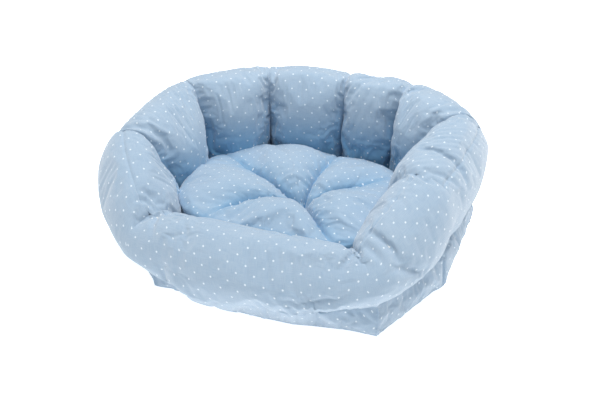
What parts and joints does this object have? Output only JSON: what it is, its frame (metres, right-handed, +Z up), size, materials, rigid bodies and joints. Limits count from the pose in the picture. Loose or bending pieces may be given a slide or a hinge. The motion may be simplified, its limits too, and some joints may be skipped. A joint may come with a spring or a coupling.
{
  "type": "pet nest bed",
  "caption": "Round nest bed for a small pet: a ring of stuffed chambers, low at the front, on a padded base, with a loose tufted cushion.",
  "frame": {"origin": "on the floor, at the centre of the bed's bounding box in plan", "axes": "+Z up; -Y towards the low front where the pet steps in; +X to the bed's right-hand side as seen from the front"},
  "size_m": [0.4724, 0.3969, 0.1815],
  "materials": {
    "dotted_cotton": "plain-weave cotton, pale blue with small woven white dots, matt",
    "base_cloth": "plain cotton without dots, matt",
    "polyester_fibre": "white hollow-fibre stuffing, matt",
    "seam_thread": "spun polyester sewing thread, low sheen"
  },
  "bodies": {
    "bed": {"outer_panel_front_right": "dotted_cotton", "inner_panel_front_right": "dotted_cotton", "fibre_fill_front_right": "polyester_fibre", "outer_panel_right": "dotted_cotton", "inner_panel_right": "dotted_cotton", "fibre_fill_right": "polyester_fibre", "outer_panel_back_right": "dotted_cotton", "inner_panel_back_right": "dotted_cotton", "fibre_fill_back_right": "polyester_fibre", "outer_panel_back_centre_right": "dotted_cotton", "inner_panel_back_centre_right": "dotted_cotton", "fibre_fill_back_centre_right": "polyester_fibre", "outer_panel_back_centre_left": "dotted_cotton", "inner_panel_back_centre_left": "dotted_cotton", "fibre_fill_back_centre_left": "polyester_fibre", "outer_panel_back_left": "dotted_cotton", "inner_panel_back_left": "dotted_cotton", "fibre_fill_back_left": "polyester_fibre", "outer_panel_left": "dotted_cotton", "inner_panel_left": "dotted_cotton", "fibre_fill_left": "polyester_fibre", "outer_panel_front_left": "dotted_cotton", "inner_panel_front_left": "dotted_cotton", "fibre_fill_front_left": "polyester_fibre", "outer_panel_front": "dotted_cotton", "inner_panel_front": "dotted_cotton", "fibre_fill_front": "polyester_fibre", "ridge_seam_allowances": "dotted_cotton", "chamber_seams": "seam_thread", "corner_topstitching": "seam_thread", "base_bottom_panel": "base_cloth", "base_pad": "polyester_fibre", "base_lining": "base_cloth"},
    "cushion": {"cushion_top_panel": "dotted_cotton", "cushion_bottom_panel": "dotted_cotton", "cushion_filling": "polyester_fibre", "cushion_seam_allowance": "dotted_cotton", "cushion_tuft_thread": "seam_thread"}
  },
  "joints": [
    {"name": "cushion_lift", "type": "slide", "parent": "bed", "child": "cushion", "axis": [0, 0, 1], "range_m": [0, 0.18]}
  ]
}
